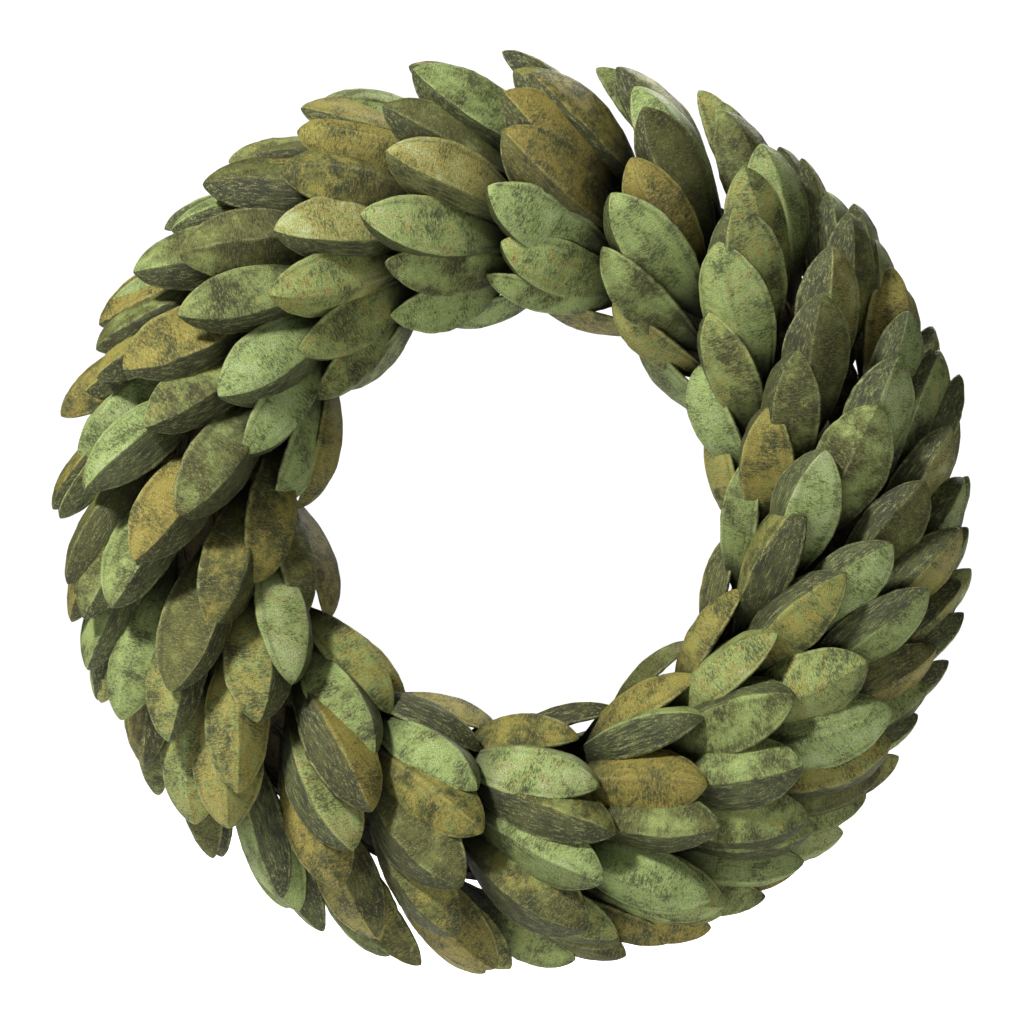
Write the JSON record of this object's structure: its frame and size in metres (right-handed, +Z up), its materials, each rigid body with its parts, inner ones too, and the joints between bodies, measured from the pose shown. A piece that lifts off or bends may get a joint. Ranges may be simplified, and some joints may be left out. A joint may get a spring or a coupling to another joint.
{
  "type": "dried pod wreath on a wire wreath frame",
  "caption": "Round wreath: a flat wire frame and straw ring covered with shingled woody pod halves that sweep one way, with a swinging loop to hang it by.",
  "frame": {"origin": "where the raised hanging loop meets its nail, on the wall plane, level with the wreath's upright centre line", "axes": "+Z up as the wreath hangs, +Y from the wreath into the wall, +X to the right seen from the front"},
  "size_m": [0.5602, 0.1094, 0.5626],
  "materials": {
    "pod_wood": "dried pods painted green with gold and mint dry-brushed highlights",
    "straw": "pressed straw, matt, overspray of green",
    "frame_wire": "dark green enamelled steel wire, slightly worn",
    "tie_wire": "thin green binding wire",
    "loop_steel": "bright zinc-plated wire, dulled"
  },
  "bodies": {
    "wreath": {"frame_ring_inner": "frame_wire", "frame_ring_inner_middle": "frame_wire", "frame_ring_outer_middle": "frame_wire", "frame_ring_outer": "frame_wire", "cross_brace_1": "frame_wire", "cross_brace_2": "frame_wire", "cross_brace_3": "frame_wire", "cross_brace_4": "frame_wire", "cross_brace_5": "frame_wire", "cross_brace_6": "frame_wire", "wire_tie_1": "tie_wire", "wire_tie_2": "tie_wire", "wire_tie_3": "tie_wire", "wire_tie_4": "tie_wire", "wire_tie_5": "tie_wire", "wire_tie_6": "tie_wire", "straw_ring": "straw", "hole_pods_1": "pod_wood", "hole_pods_2": "pod_wood", "hole_pods_3": "pod_wood", "hole_pods_4": "pod_wood", "hole_pods_5": "pod_wood", "hole_pods_6": "pod_wood", "hole_pods_7": "pod_wood", "hole_pods_8": "pod_wood", "hole_pods_9": "pod_wood", "hole_pods_10": "pod_wood", "hole_pods_11": "pod_wood", "hole_pods_12": "pod_wood", "front_pods_1": "pod_wood", "front_pods_2": "pod_wood", "front_pods_3": "pod_wood", "front_pods_4": "pod_wood", "front_pods_5": "pod_wood", "front_pods_6": "pod_wood", "front_pods_7": "pod_wood", "front_pods_8": "pod_wood", "front_pods_9": "pod_wood", "front_pods_10": "pod_wood", "front_pods_11": "pod_wood", "front_pods_12": "pod_wood", "rim_pods_1": "pod_wood", "rim_pods_2": "pod_wood", "rim_pods_3": "pod_wood", "rim_pods_4": "pod_wood", "rim_pods_5": "pod_wood", "rim_pods_6": "pod_wood", "rim_pods_7": "pod_wood", "rim_pods_8": "pod_wood", "rim_pods_9": "pod_wood", "rim_pods_10": "pod_wood", "rim_pods_11": "pod_wood", "rim_pods_12": "pod_wood"},
    "loop": {"hanging_loop": "loop_steel"}
  },
  "joints": [
    {"name": "loop_swing", "type": "hinge", "parent": "wreath", "child": "loop", "pos_m": [0, -0.0056, -0.0176], "axis": [1, 0, 0], "range_deg": [0, 180]}
  ]
}
